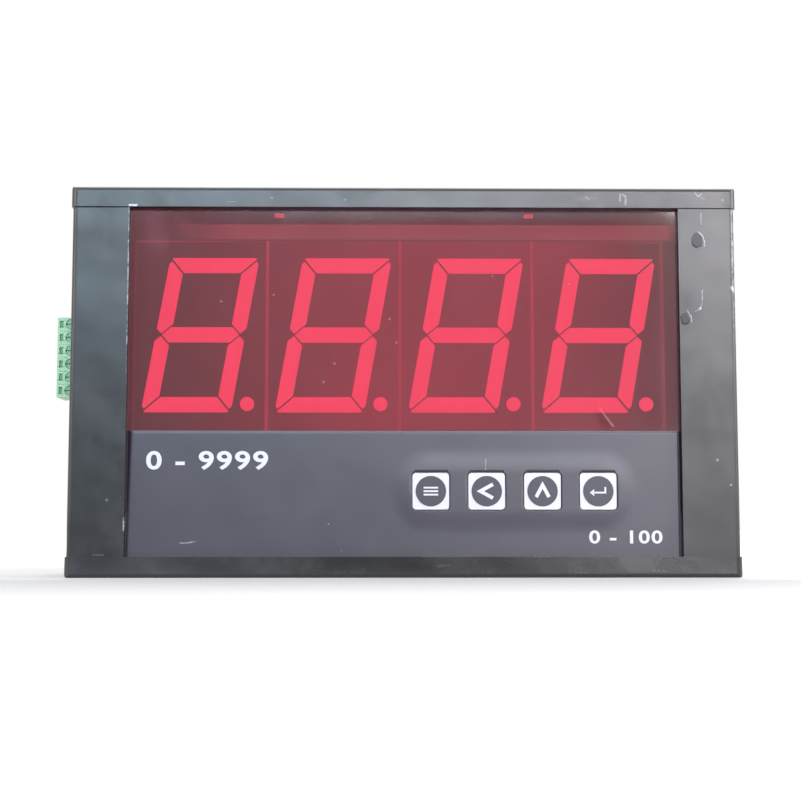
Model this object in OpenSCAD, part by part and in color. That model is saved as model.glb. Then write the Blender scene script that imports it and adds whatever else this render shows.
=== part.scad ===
// Four-digit digital panel meter in a metal case that stands on its bottom end cap.
// Millimetres. +Z is up, the display faces -Y, and the origin is the middle of the underside.

/* [Display digits] */
// Width of one digit module
digit_w = 48.2; // [44:0.1:52]
// Height of one digit module
digit_h = 69.4; // [62:0.1:78]
// Depth of one digit module
digit_d = 12; // [9:0.5:15]
// Gap between two digit modules
digit_gap = 0.1; // [0.1:0.1:1]
// Width of a lit figure, measured level
figure_w = 32.5; // [28:0.1:35]
// Height of a lit figure
figure_h = 56.6; // [50:0.1:60]
// Width of a segment's stroke
stroke = 5.6; // [4:0.1:6.5]
// Dark gap between two segments
segment_gap = 0.6; // [0.3:0.1:1]
// Forward lean of the figures in degrees
slant = 10; // [0:1:12]
// Thickness of a segment's light guide
guide_t = 1; // [0.6:0.1:2]
// Diameter of a decimal point
dot_d = 5.1; // [4:0.1:6]
// Distance of the decimal point from the middle of its figure
dot_x = 17.1; // [17:0.1:19]

/* [Window and keypad] */
// Clear space left of the digit row
margin_left = 1.3; // [1:0.1:6]
// Clear space right of the digit row
margin_right = 4.4; // [2:0.1:8]
// Clear space between the digits and the top cap
margin_top = 11.1; // [8:0.1:16]
// Space between the keypad film and the digits
margin_mid = 0.5; // [0.3:0.1:3]
// Visible height of the keypad film
keypad_h = 44.9; // [40:0.1:60]
// Thickness of the red window
window_t = 3; // [2:0.1:4]
// Thickness of the keypad film
film_t = 0.4; // [0.2:0.1:0.8]
// Bare strip of window left of the film
film_left = 1.4; // [0.5:0.1:4]
// Bare strip of window right of the film
film_right = 0.6; // [0.3:0.1:4]
// Space between the window and the digit modules
window_gap = 0.7; // [0.5:0.1:3]

/* [Keys] */
// Side of a square key cap
key_w = 13.1; // [11:0.1:15]
// Corner radius of a key cap
key_r = 1.2; // [0.8:0.1:2]
// Spacing of the keys
key_pitch = 20; // [18.6:0.1:22]
// Distance of the key row's middle from the middle of the case
key_row_x = 39.5; // [20:0.5:45]
// Height of the key row above the bottom cap
key_row_z = 23.3; // [16:0.1:28]
// Diameter of the dark disc on a key
disc_d = 10.9; // [9:0.1:10.9]
// Thickness of the dark disc
disc_t = 0.15; // [0.1:0.05:0.3]
// Travel of a key
key_travel = 0.4; // [0.2:0.1:0.6]
// Clearance round a key cap
key_clear = 0.3; // [0.2:0.05:0.5]
// Width of the hidden rim that keeps a key cap in
key_rim = 1.3; // [0.8:0.1:2]
// Thickness of that rim
key_rim_t = 1.2; // [0.8:0.1:1.6]
// Diameter of the stem behind a key cap
stem_d = 4.6; // [4:0.1:6]
// Side of a push switch
switch_w = 6; // [5:0.1:8]
// Depth of a push switch's housing
switch_d = 3.5; // [3:0.1:5]
// Diameter of a push switch's plunger
plunger_d = 3.5; // [2.5:0.1:3.6]

/* [Case] */
// Thickness of the end caps
cap_t = 7.4; // [6.8:0.1:12]
// Floor left under the pocket of an end cap
cap_floor = 2.4; // [2:0.1:3]
// How far the end caps stand proud of the sides at the ends
cap_over = 0.5; // [0.2:0.1:2]
// How far the end caps stand proud of the sides at front and back
cap_proud = 0.8; // [0.4:0.1:2]
// Edge radius of the end caps
cap_r = 1.5; // [0.8:0.1:2]
// Width of a side extrusion's front face
cheek_w = 20.6; // [19:0.1:30]
// Thickness of a side extrusion's front wall
cheek_t = 2.5; // [1.8:0.1:3.5]
// Thickness of a side extrusion's outer wall
side_wall = 2; // [1.5:0.1:3]
// Radius of a side extrusion's outer corners
side_r = 2; // [1:0.1:3]
// Thickness of the ribs inside a side extrusion
rib_t = 2; // [1.5:0.1:2.4]
// Height of the ribs that hold a board
rib_h = 3; // [2:0.1:4]
// How far the window reaches behind a front wall
window_lap = 3.2; // [2.5:0.1:4]
// Clearance between a groove's side and the plate in it
groove_clear = 0.2; // [0.1:0.05:0.3]
// Thickness of the rear lip
lip_t = 1.6; // [1.2:0.1:2.5]
// Width of the rear lip
lip_w = 9; // [6:0.5:12]
// Thickness of the rear panel
rear_t = 1.5; // [1:0.1:2]
// Outer diameter of a screw port
port_d = 6; // [5.5:0.1:7]
// Distance of the screw ports' middles from the outer face
port_in = 6; // [5.6:0.1:7]

/* [Fasteners] */
// Diameter of the case and board screws
screw_d = 3; // [2.5:0.1:3]
// Length of a case screw under its head
case_screw_l = 13; // [12:0.5:20]
// Diameter of a countersunk head
head_d = 5.6; // [5:0.1:6]
// Height of a countersunk head
head_t = 1.6; // [1.2:0.1:1.8]
// Radial clearance of a screw in its hole
screw_clear = 0.15; // [0.1:0.05:0.3]
// Width across the flats of a spacer
spacer_w = 5.5; // [5:0.1:7]
// Thickness of a pan head
pan_t = 1.8; // [1.4:0.1:2.2]
// Diameter of a pan head
pan_d = 5.5; // [5:0.1:6]
// Wall fixing: spacing of the rear nuts across
fix_w = 160; // [120:1:180]
// Wall fixing: spacing of the rear nuts up and down
fix_h = 80; // [60:1:96]
// Wall fixing: bore of a rear nut
fix_d = 4; // [3:0.1:5]
// Wall fixing: outer diameter of a rear nut
nut_d = 8; // [7:0.1:9]

/* [Boards] */
// Thickness of a circuit board
board_t = 1.6; // [1.2:0.1:2]
// Space between the two boards
board_space = 26.3; // [26:0.1:34]
// Space between the rear board and the rear panel
rear_space = 2.4; // [2:0.1:5]
// Distance of the spacers from the upper and lower edges of the boards
spacer_in = 8.5; // [7:0.1:12]
// Space between a spacer and the screw port beside it
spacer_gap = 1.5; // [1:0.1:4]
// Diameter of a component's pin
pin_d = 0.8; // [0.6:0.1:1]

/* [Components] */
// Width of the transformer's core
core_w = 42; // [34:0.5:46]
// Depth of the transformer's core
core_d = 18; // [14:0.5:20]
// Height of the transformer's core
core_h = 35; // [30:0.5:40]
// Width of the transformer's coil
coil_w = 26; // [20:0.5:30]
// Depth of the transformer's coil
coil_d = 22; // [20.5:0.5:23]
// Height of the transformer's coil
coil_h = 30; // [24:0.5:34]
// Width of a relay
relay_w = 19; // [15:0.5:22]
// Depth and height of a relay
relay_d = 15.5; // [12:0.5:18]
// Diameter of a capacitor
can_d = 10; // [8:0.5:12]
// Length of a capacitor
can_l = 16; // [12:0.5:20]
// Width of the controller chip
chip_w = 52; // [36:0.5:56]
// Height of the controller chip
chip_h = 13.8; // [10:0.1:16]
// Thickness of the controller chip
chip_t = 4; // [3:0.1:5]
// Width of a driver chip
driver_w = 20; // [16:0.5:26]
// Height of a driver chip
driver_h = 7; // [6:0.1:9]
// Thickness of a driver chip
driver_t = 3.2; // [2.5:0.1:3.6]
// Width of a ribbon socket
socket_w = 25; // [23:0.5:28]
// Depth of a ribbon socket
socket_d = 6; // [5:0.1:7]
// Height of a ribbon socket
socket_h = 8; // [6:0.1:9]
// Width of the ribbon cable
ribbon_w = 20; // [15:0.5:22]
// Thickness of the ribbon cable
ribbon_t = 0.9; // [0.7:0.1:1.2]
// Bend radius of the ribbon cable
ribbon_r = 3; // [2.5:0.1:3.5]
// How far the ribbon cable runs down between its sockets
ribbon_drop = 26; // [20:0.5:30]
// Width of an alarm lamp
lamp_w = 3.4; // [3:0.1:5]
// Depth of an alarm lamp
lamp_d = 2; // [1.5:0.1:3]
// Height of an alarm lamp
lamp_h = 1.1; // [0.8:0.1:1.2]
// Middle of the left alarm lamp, from the left edge of the second digit
lamp_left = 3.3; // [2:0.1:8]
// Middle of the right alarm lamp, from the left edge of the fourth digit
lamp_right = 0; // [-4:0.1:4]
// How far the alarm lamps stand above the underside of the top cap
lamp_rise = 0.2; // [0:0.1:0.8]
// Space between neighbouring components
part_gap = 4; // [3:0.1:4.5]

/* [Terminal plug] */
// Spacing of the ways
way_pitch = 5.08; // [5:0.01:6]
// Height of the plug's middle above the underside
plug_z = 82.3; // [60:0.1:90]
// Length of the plug outside its header
plug_out = 10.1; // [9.6:0.1:13]
// Thickness of the plug's outer body
plug_d = 14; // [13.8:0.1:15]
// Length of the plug's tongue in its header
tongue_l = 8.4; // [7:0.1:9]
// Wall of the header
header_wall = 1; // [0.8:0.1:1.2]
// Outside depth of the header
header_d = 12; // [11.6:0.1:13]
// How far the header stands out of the case
header_out = 1.4; // [0.6:0.1:3]
// Thickness of the header's back
header_back = 2; // [1.5:0.1:3]
// Sliding clearance of the plug in its header
plug_clear = 0.2; // [0.15:0.05:0.3]
// How far the plug pulls out
pull_out = 14; // [10:1:30]
// Diameter of a terminal screw's head
term_head_d = 3.8; // [3:0.1:4]
// Diameter of a terminal screw's thread
term_d = 2.4; // [2:0.1:2.6]
// Thread pitch of a terminal screw
term_pitch = 0.5; // [0.4:0.1:0.6]
// Turns of a terminal screw
term_turns = 4; // [2:1:4]
// Wall of a wire clamp
clamp_wall = 0.8; // [0.6:0.1:1]
// Inside height of a wire clamp
clamp_open = 5; // [4.6:0.1:5.4]

/* [Hidden] */
$fn = 48;
// Overlap that makes a cut pass cleanly through a face
cut = 0.5;
DIGITS = 4;
WAYS = 6;
KEYS = 4;
CAPACITORS = 3;

// Across: the case is as wide as the digit row and its two cheeks.
digit_pitch = digit_w + digit_gap;
row_w = DIGITS * digit_pitch - digit_gap;
opening_w = margin_left + row_w + margin_right;
x_in = opening_w / 2;
x_out = x_in + cheek_w;
x_wall = x_out - side_wall;
row_x0 = -x_in + margin_left;
// Play at the edge of each plate in its groove
edge_play = 0.4;
window_x = x_in + window_lap;
board_x = x_wall - edge_play;
port_x = x_out - port_in;
// Spacers: width over the corners, and place beside the screw ports
spacer_d = spacer_w / cos(30);
spacer_x = port_x - (port_d + spacer_d) / 2 - spacer_gap;

// Upwards: caps, keypad, digits.
z_film_top = cap_t + keypad_h;
z_digit = z_film_top + margin_mid;
z_top = z_digit + digit_h + margin_top;
case_h = z_top + cap_t;
// Small seat gap under the plates, and the bars that they stand on
seat_gap = 0.1;
bar_h = 2.2;
bar_w = 4;
bar_x = x_in - 20;
plate_z0 = cap_floor + bar_h + seat_gap;
plate_z1 = case_h - plate_z0;
z_fig = z_digit + (digit_h - figure_h) / 2;

// Front to back: the stack of plates and modules.
stack_d = cheek_t + window_t + window_gap + digit_d + board_t + board_space
  + board_t + rear_space + rear_t + groove_clear + lip_t;
case_d = stack_d + 2 * cap_proud;
y_cap = -case_d / 2;
y_side = y_cap + cap_proud;
y_window = y_side + cheek_t;
y_window_back = y_window + window_t;
y_film = y_window - film_t;
y_digit = y_window_back + window_gap;
y_display = y_digit + digit_d;
y_display_back = y_display + board_t;
y_control = y_display_back + board_space;
y_control_back = y_control + board_t;
y_rear = y_control_back + rear_space;
y_rear_back = y_rear + rear_t;
y_lip = y_rear_back + groove_clear;
// Screw ports lie midway between the ribs on either side of them
y_port_a = (y_window_back + groove_clear + rib_t + y_display - groove_clear - rib_t) / 2;
y_port_b = (y_display_back + y_control) / 2;

// Keys.
z_key = cap_t + key_row_z;
hole_w = key_w + 2 * key_clear;
y_rim = y_window_back + groove_clear;
y_switch = y_display - switch_d;
plunger_l = 4;
y_plunger = y_switch - plunger_l;
plunger_end = y_switch + switch_d / 2;
// Running clearance of the plungers and terminal screws
run_clear = 0.1;

// Terminal plug and header, on the front of the control board at the left side.
plug_half = WAYS * way_pitch / 2;
x_mouth = -x_out - header_out;
x_plug = x_mouth - plug_clear;
x_plug_end = x_plug - plug_out;
x_tongue = x_plug + tongue_l;
x_cavity = x_tongue + header_wall + plug_clear;
x_header_back = x_cavity + header_back;
y_header = y_control - header_d;
y_plug_back = y_control - plug_clear;
y_plug = y_plug_back - plug_d;
y_tongue = y_header + header_wall + plug_clear;
y_tongue_back = y_control - header_wall - plug_clear;
// Pins lie level with the middle of the tongue
header_pin = 1;
y_pin = (y_tongue + y_tongue_back) / 2;
x_leg = x_header_back + 0.6;
// Terminal screw: head in the front of the plug, thread down through the clamp
head_sink = 0.4;
term_head_t = 1.7;
shoulder_t = 1;
x_term = (x_plug_end + x_plug) / 2;
y_head = y_plug + head_sink;
y_neck = y_head + term_head_t;
y_pocket = y_neck + shoulder_t + run_clear;
clamp_travel = term_turns * term_pitch;
clamp_play = 0.2;
y_clamp = y_pocket + clamp_play + clamp_travel;
clamp_d = 2 * clamp_wall + clamp_open;
clamp_x = 5.2;
clamp_z = way_pitch - 1.1;
// Sides of a wire clamp's cage, clear of the end of its screw
clamp_side = (clamp_z - term_d) / 2 - clamp_play;
pocket_z = clamp_z + 0.4;
bar_t = 0.6;
entry_z = 3.4;
entry_y = 4;
y_bar = y_clamp + clamp_wall + clamp_play;
term_l = y_bar - clamp_play - y_neck;

// Components stand in a row on the control board, level with the plug.
digit_pin_in = 4;
digit_pin_pitch = 5.08;
x_relay = x_leg + header_pin + 4 * part_gap;
x_core = x_relay + relay_w + part_gap;
x_can = x_core + core_w + part_gap + can_d / 2;
can_pitch = can_d + part_gap;
x_socket = x_can + (CAPACITORS - 0.5) * can_pitch + socket_w / 2;
z_can = plug_z + can_d;
z_chip = plug_z - core_h / 2 - part_gap - chip_h;
z_driver = z_digit - part_gap - driver_h;
// The ribbon leaves the display board level with the middle of the digits
z_socket_1 = z_digit + digit_h / 2;
z_socket_2 = z_socket_1 - ribbon_drop;

function way_z(i) = plug_z + (i - 1 - (WAYS - 1) / 2) * way_pitch;
function key_x(i) = key_row_x + (i - 1 - (KEYS - 1) / 2) * key_pitch;
function digit_x(i) = row_x0 + (i - 1) * digit_pitch;

// A box from one corner to the other
module block(a, b) {
  translate(a)
    cube([b[0] - a[0], b[1] - a[1], b[2] - a[2]]);
}

// A flat rectangle with round corners
module round_rect(x0, y0, x1, y1, r) {
  translate([x0 + r, y0])
    square([x1 - x0 - 2 * r, y1 - y0]);
  translate([x0, y0 + r])
    square([x1 - x0, y1 - y0 - 2 * r]);
  for (x = [x0 + r, x1 - r], y = [y0 + r, y1 - r])
    translate([x, y])
      circle(r);
}

// Stands a flat shape up, as thick as y0 to y1
module along_y(y0, y1) {
  translate([0, y1, 0])
    rotate([90, 0, 0])
      linear_extrude(y1 - y0)
        children();
}

// A round bar along Y
module rod_y(x, y0, y1, z, d) {
  translate([x, y0, z])
    rotate([-90, 0, 0])
      cylinder(h = y1 - y0, d = d);
}

// The places of the case screws, seen from above
module at_ports() {
  for (x = [-port_x, port_x], y = [y_port_a, y_port_b])
    translate([x, y, 0])
      children();
}

// ---- Case ----

module cap_blank() {
  x = x_out + cap_over;
  intersection() {
    linear_extrude(cap_t)
      round_rect(-x, y_cap, x, -y_cap, side_r + cap_over);
    along_y(y_cap - cut, cut - y_cap)
      round_rect(-x, 0, x, cap_t + 2 * cap_r, cap_r);
    rotate([90, 0, 90])
      translate([0, 0, -x - cut])
        linear_extrude(2 * (x + cut))
          round_rect(y_cap, 0, -y_cap, cap_t + 2 * cap_r, cap_r);
  }
}

module cap() {
  pocket_y0 = y_film - seat_gap;
  pocket_y1 = y_rear_back + seat_gap;
  difference() {
    union() {
      difference() {
        cap_blank();
        block([-x_wall, pocket_y0, cap_floor], [x_wall, pocket_y1, cap_t + cut]);
      }
      // Bosses for the case screws, each joined to the end wall
      for (side = [-1, 1], y = [y_port_a, y_port_b]) {
        translate([side * port_x, y, cap_floor - cut])
          cylinder(h = cap_t - cap_floor + cut, d = port_d + 1);
        translate([side > 0 ? port_x : -x_wall - cut, y - port_d / 3, cap_floor - cut])
          cube([x_wall - port_x + cut, port_d * 2 / 3, cap_t - cap_floor + cut]);
      }
      for (x = [-bar_x, 0, bar_x])
        block([x - bar_w / 2, pocket_y0 - cut, cap_floor - cut],
          [x + bar_w / 2, pocket_y1 + cut, cap_floor + bar_h]);
    }
    at_ports() {
      translate([0, 0, -cut])
        cylinder(h = cap_t + 2 * cut, d = screw_d + 2 * screw_clear);
      translate([0, 0, -0.01])
        cylinder(h = head_t, d1 = head_d + 2 * screw_clear, d2 = screw_d + 2 * screw_clear);
    }
  }
}

module bottom_cap() {
  color("#3c3b3d")
    cap();
}

module top_cap() {
  color("#77808a")
    translate([0, 0, case_h])
      mirror([0, 0, 1])
        cap();
}

// Section of the right-hand extrusion, outer face towards +X
module side_section() {
  y_win_rib = y_window_back + groove_clear;
  intersection() {
    round_rect(x_in - cheek_w, y_side, x_out, -y_side, side_r);
    difference() {
      union() {
        // Front wall, outer wall and rear lip
        translate([x_in, y_side])
          square([cheek_w, cheek_t]);
        translate([x_wall, y_side])
          square([side_wall, -2 * y_side]);
        translate([x_out - lip_w, y_lip])
          square([lip_w, lip_t]);
        // Leg and rib that hold the window from behind
        translate([window_x + edge_play, y_side])
          square([rib_t, cheek_t + window_t + groove_clear + rib_t]);
        translate([x_in + edge_play, y_win_rib])
          square([window_lap + rib_t, rib_t]);
        // Ribs on both sides of each board; the last is also the rear panel's
        for (y = [y_display - groove_clear - rib_t, y_display_back + groove_clear,
            y_control - groove_clear - rib_t])
          translate([x_wall - rib_h, y])
            square([rib_h + cut, rib_t]);
        translate([x_wall - rib_h, y_control_back + groove_clear])
          square([rib_h + cut, rear_space - 2 * groove_clear]);
        for (y = [y_port_a, y_port_b]) {
          translate([port_x, y])
            circle(d = port_d);
          translate([port_x, y - 1])
            square([x_wall - port_x + cut, 2]);
        }
      }
      for (y = [y_port_a, y_port_b])
        translate([port_x, y])
          circle(d = screw_d + 2 * screw_clear);
    }
  }
}

module side() {
  translate([0, 0, cap_t])
    linear_extrude(case_h - 2 * cap_t)
      side_section();
}

module right_side() {
  color("#67646a")
    side();
}

// The left side has an opening for the header, and room for it behind
module left_side() {
  slot_half = plug_half + header_wall + 2 * plug_clear + edge_play;
  port_y0 = y_port_b - port_d / 2 - cut;
  color("#5b5f66")
    difference() {
      mirror([1, 0, 0])
        side();
      block([-x_out - cut, y_header - edge_play, plug_z - slot_half],
        [-x_wall + cut, y_control + edge_play, plug_z + slot_half]);
      block([-x_wall - 0.01, min(port_y0, y_header - edge_play), plug_z - slot_half],
        [-port_x + port_d, y_control - groove_clear + 0.01, plug_z + slot_half]);
    }
}

module rear_panel() {
  color("#3a3a3c")
    difference() {
      block([-board_x, y_rear, plate_z0], [board_x, y_rear_back, plate_z1]);
      at_nuts()
        rod_y(0, y_rear - cut, y_rear_back + cut, 0, nut_d);
    }
}

module at_nuts() {
  for (x = [-fix_w / 2, fix_w / 2], z = [-fix_h / 2, fix_h / 2])
    translate([x, 0, case_h / 2 + z])
      children();
}

// Pressed nuts, flush with the back of the rear panel
module rear_nuts() {
  shank = nut_d - 2 * edge_play;
  color("silver")
    at_nuts()
      difference() {
        union() {
          rod_y(0, y_rear - seat_gap, y_rear_back, 0, nut_d - 2 * seat_gap);
          rod_y(0, y_control_back + groove_clear, y_rear, 0, shank);
        }
        rod_y(0, y_control_back, y_rear_back + cut, 0, fix_d);
      }
}

// Square openings for the key caps
module key_holes(grow) {
  w = hole_w + 2 * grow;
  for (i = [1:KEYS])
    round_rect(key_x(i) - w / 2, z_key - w / 2, key_x(i) + w / 2, z_key + w / 2,
      key_r + key_clear + grow);
}

module window() {
  color("#8a4650", 0.6)
    along_y(y_window, y_window_back)
      difference() {
        translate([-window_x, plate_z0])
          square([2 * window_x, plate_z1 - plate_z0]);
        key_holes(0);
      }
}

module keypad_film() {
  color("#5f6272")
    along_y(y_film, y_window)
      difference() {
        translate([-x_in + film_left, plate_z0])
          square([opening_w - film_left - film_right, z_film_top - plate_z0]);
        key_holes(0);
      }
}

// Countersunk screws, heads flush with the outside of the cap
module case_screws() {
  at_ports() {
    translate([0, 0, head_t])
      cylinder(h = case_screw_l, d = screw_d);
    difference() {
      cylinder(h = head_t, d1 = head_d, d2 = screw_d);
      for (turn = [0, 90])
        rotate([0, 0, turn])
          translate([-1.5, -0.3, -cut])
            cube([3, 0.6, cut + 0.8]);
    }
  }
}

module bottom_screws() {
  color("#8c8c90")
    case_screws();
}

module top_screws() {
  color("#8c8c90")
    translate([0, 0, case_h])
      mirror([0, 0, 1])
        case_screws();
}

// ---- Keys ----

module key_cap(i) {
  half = key_w / 2;
  rim = half + key_rim;
  color("white") {
    along_y(y_film, y_rim + cut)
      round_rect(key_x(i) - half, z_key - half, key_x(i) + half, z_key + half, key_r);
    along_y(y_rim, y_rim + key_rim_t)
      round_rect(key_x(i) - rim, z_key - rim, key_x(i) + rim, z_key + rim, key_r);
    rod_y(key_x(i), y_rim, y_plunger, z_key, stem_d);
  }
}

module key_cap_1() { key_cap(1); }
module key_cap_2() { key_cap(2); }
module key_cap_3() { key_cap(3); }
module key_cap_4() { key_cap(4); }

module key_disc(i) {
  color("#55545c")
    rod_y(key_x(i), y_film - disc_t, y_film, z_key, disc_d);
}

module key_disc_1() { key_disc(1); }
module key_disc_2() { key_disc(2); }
module key_disc_3() { key_disc(3); }
module key_disc_4() { key_disc(4); }

// A plunger starts at the key's stem and ends inside its switch
module plunger(i) {
  color("#222222")
    rod_y(key_x(i), y_plunger, plunger_end, z_key, plunger_d);
}

module plunger_1() { plunger(1); }
module plunger_2() { plunger(2); }
module plunger_3() { plunger(3); }
module plunger_4() { plunger(4); }

module key_switches() {
  half = switch_w / 2;
  well = plunger_end + key_travel + edge_play;
  color("#303034")
    for (i = [1:KEYS])
      difference() {
        block([key_x(i) - half, y_switch, z_key - half],
          [key_x(i) + half, y_display, z_key + half]);
        rod_y(key_x(i), y_switch - cut, well, z_key, plunger_d + 2 * run_clear);
      }
}

// ---- Digits ----

// A point of a figure: u from its left edge, v from its foot, leaning forward
function lean(u, v) = [u + (v - figure_h / 2) * tan(slant), v];

// Outlines of the upright, level and middle segments of one figure
half_gap = segment_gap / sqrt(2);
tip = 0.4 * stroke;
bevel = 1.3;
mid = figure_h / 2;
upright = [[0, figure_h - bevel - 1], [bevel - half_gap, figure_h - bevel],
  [stroke, figure_h - stroke - half_gap],
  [stroke, mid + stroke - tip + segment_gap], [tip - 0.3, mid + half_gap],
  [0, mid + tip]];
level = [[half_gap + 1, figure_h], [figure_w - half_gap - 1, figure_h],
  [figure_w - half_gap - 0.4, figure_h - 0.4],
  [figure_w - stroke - half_gap, figure_h - stroke],
  [stroke + half_gap, figure_h - stroke], [half_gap + 0.4, figure_h - 0.4]];
middle = [[tip, mid], [tip + stroke / 2, mid + stroke / 2],
  [figure_w - tip - stroke / 2, mid + stroke / 2], [figure_w - tip, mid],
  [figure_w - tip - stroke / 2, mid - stroke / 2], [tip + stroke / 2, mid - stroke / 2]];

// Draws an outline, turned over left to right or top to bottom where asked
module segment(outline, flip_u, flip_v) {
  polygon([for (p = outline)
    lean(flip_u ? figure_w - p[0] : p[0], flip_v ? figure_h - p[1] : p[1])]);
}

module figure_outline(i) {
  translate([digit_x(i) + digit_w / 2 - figure_w / 2, z_fig]) {
    for (u = [false, true], v = [false, true])
      segment(upright, u, v);
    for (v = [false, true])
      segment(level, false, v);
    segment(middle, false, false);
  }
}

module dot_outline(i, grow) {
  translate([digit_x(i) + digit_w / 2 + dot_x, z_fig + dot_d / 2 + 0.6])
    circle(d = dot_d + 2 * grow);
}

module digit(i) {
  color("#3b2a2e")
    difference() {
      block([digit_x(i), y_digit, z_digit], [digit_x(i) + digit_w, y_display, z_digit + digit_h]);
      along_y(y_digit - cut, y_digit + guide_t) {
        figure_outline(i);
        dot_outline(i, seat_gap);
      }
    }
}

module digit_1() { digit(1); }
module digit_2() { digit(2); }
module digit_3() { digit(3); }
module digit_4() { digit(4); }

module segments(i) {
  color("#fa4b6d")
    along_y(y_digit, y_digit + guide_t) {
      figure_outline(i);
      dot_outline(i, 0);
    }
}

module segments_1() { segments(1); }
module segments_2() { segments(2); }
module segments_3() { segments(3); }
module segments_4() { segments(4); }

// Two rows of five pins behind each digit module
module at_digit_pins() {
  for (i = [1:DIGITS], n = [-2:2], z = [z_digit + digit_pin_in, z_digit + digit_h - digit_pin_in])
    translate([digit_x(i) + digit_w / 2 + n * digit_pin_pitch, 0, z])
      children();
}

module digit_pins() {
  color("silver")
    at_digit_pins()
      rod_y(0, y_display, y_display_back + 1.5, 0, pin_d);
}

module at_spacers() {
  for (side = [-1, 1], z = [plate_z0 + spacer_in, plate_z1 - spacer_in])
    translate([side * spacer_x, 0, z])
      children();
}

module board_blank(y0, y1) {
  difference() {
    block([-board_x, y0, plate_z0], [board_x, y1, plate_z1]);
    at_spacers()
      rod_y(0, y0 - cut, y1 + cut, 0, screw_d + 2 * screw_clear);
  }
}

module display_board() {
  color("#5c3a30")
    difference() {
      board_blank(y_display, y_display_back);
      at_digit_pins()
        rod_y(0, y_display - cut, y_display_back + cut, 0, pin_d + 2 * seat_gap);
    }
}

// Two bar lamps above the digit row
module alarm_lights() {
  color("#ff3050")
    for (x = [digit_x(2) + lamp_left, digit_x(4) + lamp_right])
      translate([x - lamp_w / 2, y_display - lamp_d, z_top + lamp_rise])
        cube([lamp_w, lamp_d, lamp_h]);
}

// One driver chip for each digit, on the back of the display board
module driver_chips() {
  color("#202022")
    for (i = [1:DIGITS])
      translate([digit_x(i) + (digit_w - driver_w) / 2, y_display_back, z_driver])
        cube([driver_w, driver_t, driver_h]);
}

// ---- Electronics behind ----

module control_board() {
  color("#2f6b45")
    difference() {
      board_blank(y_control, y_control_back);
      at_header_pins()
        rod_y(0, y_control - cut, y_control_back + cut, 0, header_pin * 1.6);
    }
}

module spacers() {
  color("#c9a44c")
    at_spacers()
      difference() {
        translate([0, y_display_back, 0])
          rotate([-90, 0, 0])
            cylinder(h = board_space, d = spacer_d, $fn = 6);
        rod_y(0, y_display_back - cut, y_control + cut, 0, screw_d + 2 * screw_clear);
      }
}

// Pan head screws through both boards into the ends of the spacers
module board_screws() {
  grip = 6;
  color("#b8b8bc")
    at_spacers() {
      rod_y(0, y_display - pan_t, y_display, 0, pan_d);
      rod_y(0, y_display - pan_t / 2, y_display_back + grip, 0, screw_d);
      rod_y(0, y_control_back, y_control_back + pan_t, 0, pan_d);
      rod_y(0, y_control - grip, y_control_back + pan_t / 2, 0, screw_d);
    }
}

// A laminated core round a thicker coil
module transformer() {
  color("#7d7f84")
    for (size = [[core_w, core_d, core_h], [coil_w, coil_d, coil_h]])
      translate([x_core + (core_w - size[0]) / 2, y_control - size[1], plug_z - size[2] / 2])
        cube(size);
}

module relay() {
  color("#2a55a0")
    for (side = [-1, 1])
      translate([x_relay, y_control - relay_d, plug_z - relay_d / 2 + side * (relay_d + part_gap) / 2])
        cube([relay_w, relay_d, relay_d]);
}

module capacitors() {
  color("#26304a")
    for (i = [0:CAPACITORS - 1])
      rod_y(x_can + i * can_pitch, y_control - can_l, y_control, z_can, can_d);
}

module controller_chip() {
  color("#1f1f22")
    translate([x_core, y_control - chip_t, z_chip])
      cube([chip_w, chip_t, chip_h]);
}

// A socket for the ribbon cable on each board
module ribbon_sockets() {
  color("#2b2b2e") {
    translate([x_socket - socket_w / 2, y_display_back, z_socket_1 - socket_h / 2])
      cube([socket_w, socket_d, socket_h]);
    translate([x_socket - socket_w / 2, y_control - socket_d, z_socket_2 - socket_h / 2])
      cube([socket_w, socket_d, socket_h]);
  }
}

// A quarter bend of the ribbon about the point (y, z), in the quadrant qy, qz
module ribbon_bend(y, z, qy, qz, r) {
  intersection() {
    difference() {
      translate([y, z])
        circle(r + ribbon_t / 2);
      translate([y, z])
        circle(r - ribbon_t / 2);
    }
    translate([qy > 0 ? y : y - 2 * r, qz > 0 ? z : z - 2 * r])
      square(2 * r);
  }
}

module ribbon_cable() {
  r = ribbon_r;
  y0 = y_display_back + socket_d;
  y1 = y_control - socket_d;
  y_run = (y0 + y1) / 2;
  half_t = ribbon_t / 2;
  join = 0.01;
  color("#8f9096")
    translate([x_socket - ribbon_w / 2, 0, 0])
      rotate([90, 0, 90])
        linear_extrude(ribbon_w) {
          translate([y0, z_socket_1 - half_t])
            square([y_run - r - y0 + join, ribbon_t]);
          ribbon_bend(y_run - r, z_socket_1 - r, 1, 1, r);
          translate([y_run - half_t, z_socket_2 + r - join])
            square([ribbon_t, ribbon_drop - 2 * r + 2 * join]);
          ribbon_bend(y_run + r, z_socket_2 + r, -1, -1, r);
          translate([y_run + r - join, z_socket_2 - half_t])
            square([y1 - y_run - r + join, ribbon_t]);
        }
}

// ---- Terminal header and plug ----

module at_ways() {
  for (i = [1:WAYS])
    translate([0, 0, way_z(i)])
      children();
}

module at_header_pins() {
  at_ways()
    translate([x_leg + header_pin / 2, 0, 0])
      children();
}

module terminal_header() {
  half = plug_half + plug_clear + header_wall;
  hole = header_pin / 2 + seat_gap;
  color("#3f9a5c")
    difference() {
      block([x_mouth, y_header, plug_z - half], [x_header_back, y_control, plug_z + half]);
      block([x_mouth - cut, y_header + header_wall, plug_z - half + header_wall],
        [x_cavity, y_control - header_wall, plug_z + half - header_wall]);
      at_ways()
        block([x_cavity - cut, y_pin - hole, -hole], [x_header_back + cut, y_pin + hole, hole]);
    }
}

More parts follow.
